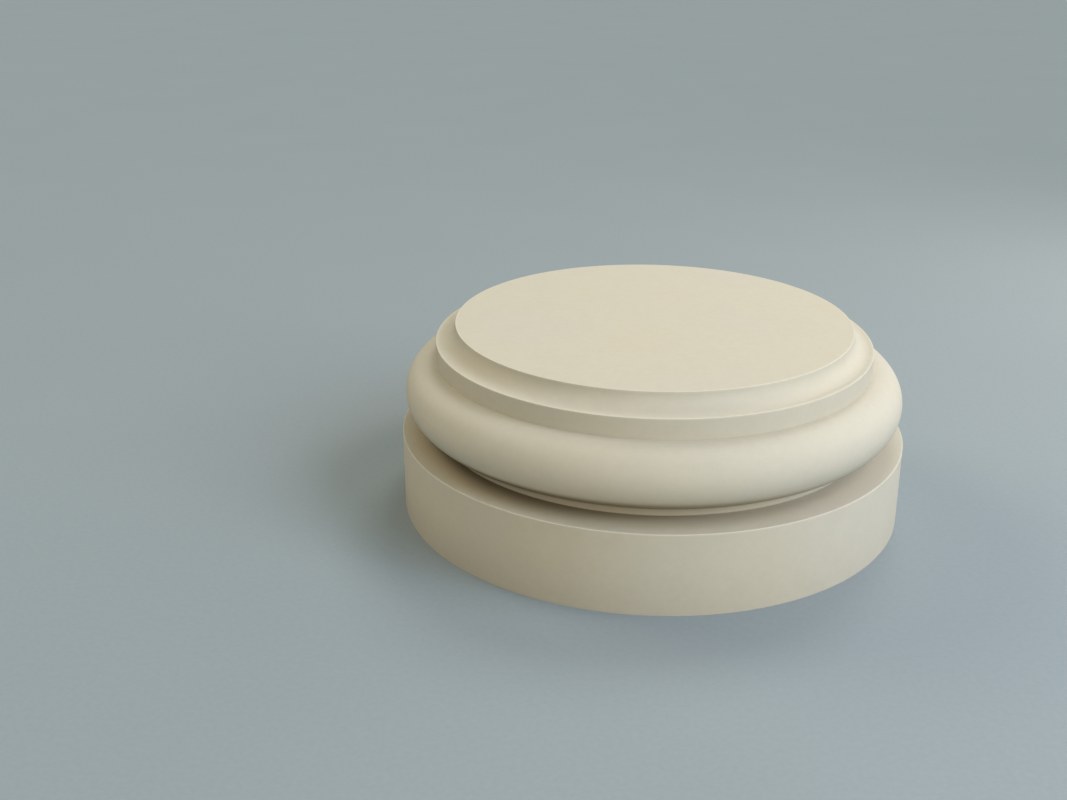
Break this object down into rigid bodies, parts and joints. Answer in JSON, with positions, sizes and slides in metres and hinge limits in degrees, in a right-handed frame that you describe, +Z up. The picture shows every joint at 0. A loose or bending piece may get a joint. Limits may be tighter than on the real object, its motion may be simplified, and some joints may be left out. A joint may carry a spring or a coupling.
{
  "type": "column base",
  "caption": "Round Tuscan-style base that a column's shaft stands on: drum plinth, half-round torus, two plain fillets, and a cove rising to a flat seat.",
  "frame": {"origin": "middle of the underside, on the ground, on the axis that the base is turned about", "axes": "+Z up along the column's axis, from the underside towards the shaft's seat; X and Y lie level, and the base is the same in every direction round Z"},
  "size_m": [0.4, 0.3998, 0.1485],
  "materials": {
    "cast_stone": "smooth matte cream cast stone with a very fine even grain, plain and unmarked"
  },
  "bodies": {
    "root": {"column_base": "cast_stone"}
  },
  "joints": []
}
